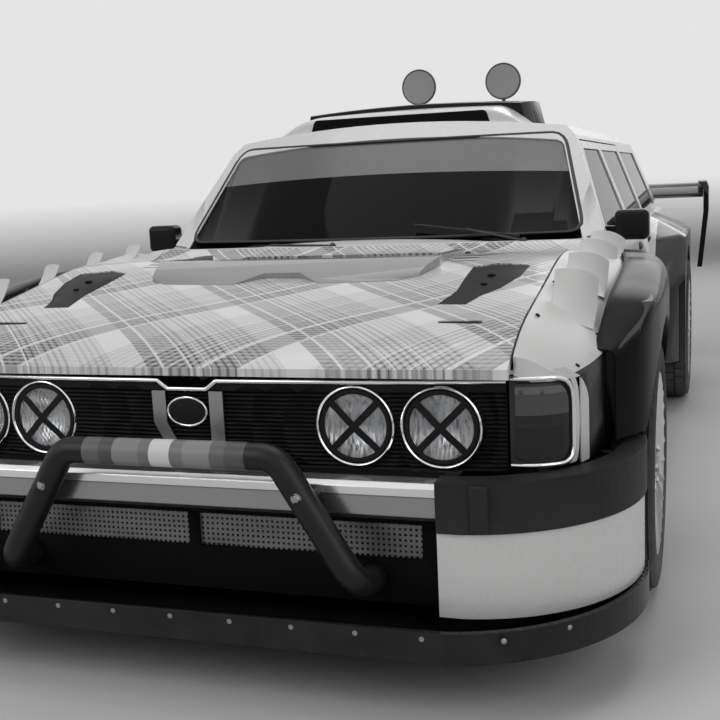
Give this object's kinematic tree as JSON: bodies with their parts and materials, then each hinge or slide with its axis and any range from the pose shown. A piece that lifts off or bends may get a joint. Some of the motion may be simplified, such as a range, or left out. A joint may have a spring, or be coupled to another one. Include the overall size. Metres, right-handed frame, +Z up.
{
  "type": "rally car",
  "caption": "Wide-bodied rally estate car with crowned bonnet, square nose, paired round headlamps, bull bar, flared arches, roof scoop, drooped rear wing and opening doors, bonnet and tailgate.",
  "frame": {"origin": "on the ground at the middle of the overall length and width", "axes": "+Z up, the nose looks along -Y, the car's left side lies on +X"},
  "size_m": [2.026, 4.51, 1.5359],
  "materials": {
    "white_paint": "gloss, white",
    "silver_paint": "gloss, silver grey",
    "black_panel": "gloss black composite",
    "black_trim": "satin black",
    "dark_frame": "satin dark grey",
    "chrome": "polished",
    "glass": "tinted",
    "lamp_lens": "ribbed clear",
    "smoked_lens": "smoked",
    "tail_lens": "dark lens",
    "tyre": "matte",
    "wheel": "satin",
    "steel": "satin",
    "iron": "rough",
    "seat": "woven, dark"
  },
  "bodies": {
    "body": {"body_shell": "white_paint", "windscreen": "glass", "quarter_glass": "glass", "front_fenders": "white_paint", "wheel_arch_flares": "black_panel", "tail_lamps": "tail_lens", "grille": "black_trim", "headlamps": "lamp_lens", "corner_lamps": "smoked_lens", "chrome_trim": "chrome", "front_bumper": "chrome", "bumper_caps": "black_trim", "front_valance": "white_paint", "front_panel": "black_trim", "splitter": "black_panel", "grille_badge": "steel", "bull_bar": "black_panel", "front_chassis": "dark_frame", "engine_block": "iron", "radiator": "dark_frame", "front_suspension": "steel", "rear_suspension": "steel", "rear_bumper": "black_trim", "diffuser": "black_panel", "side_skirts": "black_trim", "roof_scoop": "white_paint", "roof_pod": "black_panel", "roof_discs": "dark_frame", "fender_flaps": "white_paint", "roll_cage": "steel", "seats": "seat", "dashboard": "black_trim"},
    "bonnet": {"bonnet": "white_paint", "bonnet_vents": "black_panel", "bonnet_duct": "silver_paint"},
    "tailgate": {"tailgate": "white_paint", "tailgate_glass": "glass", "rear_wing": "black_panel"},
    "steering_wheel": {"steering_wheel": "black_trim"},
    "front_door_left": {"front_door_left": "white_paint", "front_door_glass_left": "glass", "mirror_left": "black_trim"},
    "rear_door_left": {"rear_door_left": "white_paint", "rear_door_glass_left": "glass"},
    "front_upright_left": {"front_upright_left": "steel"},
    "front_wheel_left": {"front_tyre_left": "tyre", "front_rim_left": "wheel"},
    "rear_wheel_left": {"rear_tyre_left": "tyre", "rear_rim_left": "wheel"},
    "front_door_right": {"front_door_right": "white_paint", "front_door_glass_right": "glass", "mirror_right": "black_trim"},
    "rear_door_right": {"rear_door_right": "white_paint", "rear_door_glass_right": "glass"},
    "front_upright_right": {"front_upright_right": "steel"},
    "front_wheel_right": {"front_tyre_right": "tyre", "front_rim_right": "wheel"},
    "rear_wheel_right": {"rear_tyre_right": "tyre", "rear_rim_right": "wheel"}
  },
  "joints": [
    {"name": "bonnet_hinge", "type": "hinge", "parent": "body", "child": "bonnet", "pos_m": [0, -0.891, 0.862], "axis": [-1, 0, 0], "range_deg": [0, 55]},
    {"name": "tailgate_hinge", "type": "hinge", "parent": "body", "child": "tailgate", "pos_m": [0, 1.813, 1.18], "axis": [1, 0, 0], "range_deg": [0, 75]},
    {"name": "front_door_left_hinge", "type": "hinge", "parent": "body", "child": "front_door_left", "pos_m": [0.814, -0.821, 0.6], "axis": [0, 0, -1], "range_deg": [0, 65]},
    {"name": "rear_door_left_hinge", "type": "hinge", "parent": "body", "child": "rear_door_left", "pos_m": [0.814, 0.154, 0.6], "axis": [0, 0, -1], "range_deg": [0, 62]},
    {"name": "steer_left", "type": "hinge", "parent": "body", "child": "front_upright_left", "pos_m": [0.8, -1.385, 0.325], "axis": [0, 0, 1], "range_deg": [-28, 28]},
    {"name": "front_wheel_left_spin", "type": "hinge", "parent": "front_upright_left", "child": "front_wheel_left", "pos_m": [0.824, -1.385, 0.325], "axis": [1, 0, 0], "continuous": true},
    {"name": "rear_wheel_left_spin", "type": "hinge", "parent": "body", "child": "rear_wheel_left", "pos_m": [0.824, 1.065, 0.325], "axis": [1, 0, 0], "continuous": true},
    {"name": "front_door_right_hinge", "type": "hinge", "parent": "body", "child": "front_door_right", "pos_m": [-0.814, -0.821, 0.6], "axis": [0, 0, 1], "range_deg": [0, 65]},
    {"name": "rear_door_right_hinge", "type": "hinge", "parent": "body", "child": "rear_door_right", "pos_m": [-0.814, 0.154, 0.6], "axis": [0, 0, 1], "range_deg": [0, 62]},
    {"name": "steer_right", "type": "hinge", "parent": "body", "child": "front_upright_right", "pos_m": [-0.8, -1.385, 0.325], "axis": [0, 0, 1], "range_deg": [-28, 28]},
    {"name": "front_wheel_right_spin", "type": "hinge", "parent": "front_upright_right", "child": "front_wheel_right", "pos_m": [-0.824, -1.385, 0.325], "axis": [1, 0, 0], "continuous": true},
    {"name": "rear_wheel_right_spin", "type": "hinge", "parent": "body", "child": "rear_wheel_right", "pos_m": [-0.824, 1.065, 0.325], "axis": [1, 0, 0], "continuous": true},
    {"name": "steering_wheel_turn", "type": "hinge", "parent": "body", "child": "steering_wheel", "pos_m": [0.35, -0.375, 0.74], "axis": [0, 0.9135, 0.4067], "range_deg": [-450, 450]}
  ],
  "couplings": [
    {"joint": "steer_right", "follows": "steer_left", "ratio": 1},
    {"joint": "steering_wheel_turn", "follows": "steer_left", "ratio": 16}
  ]
}
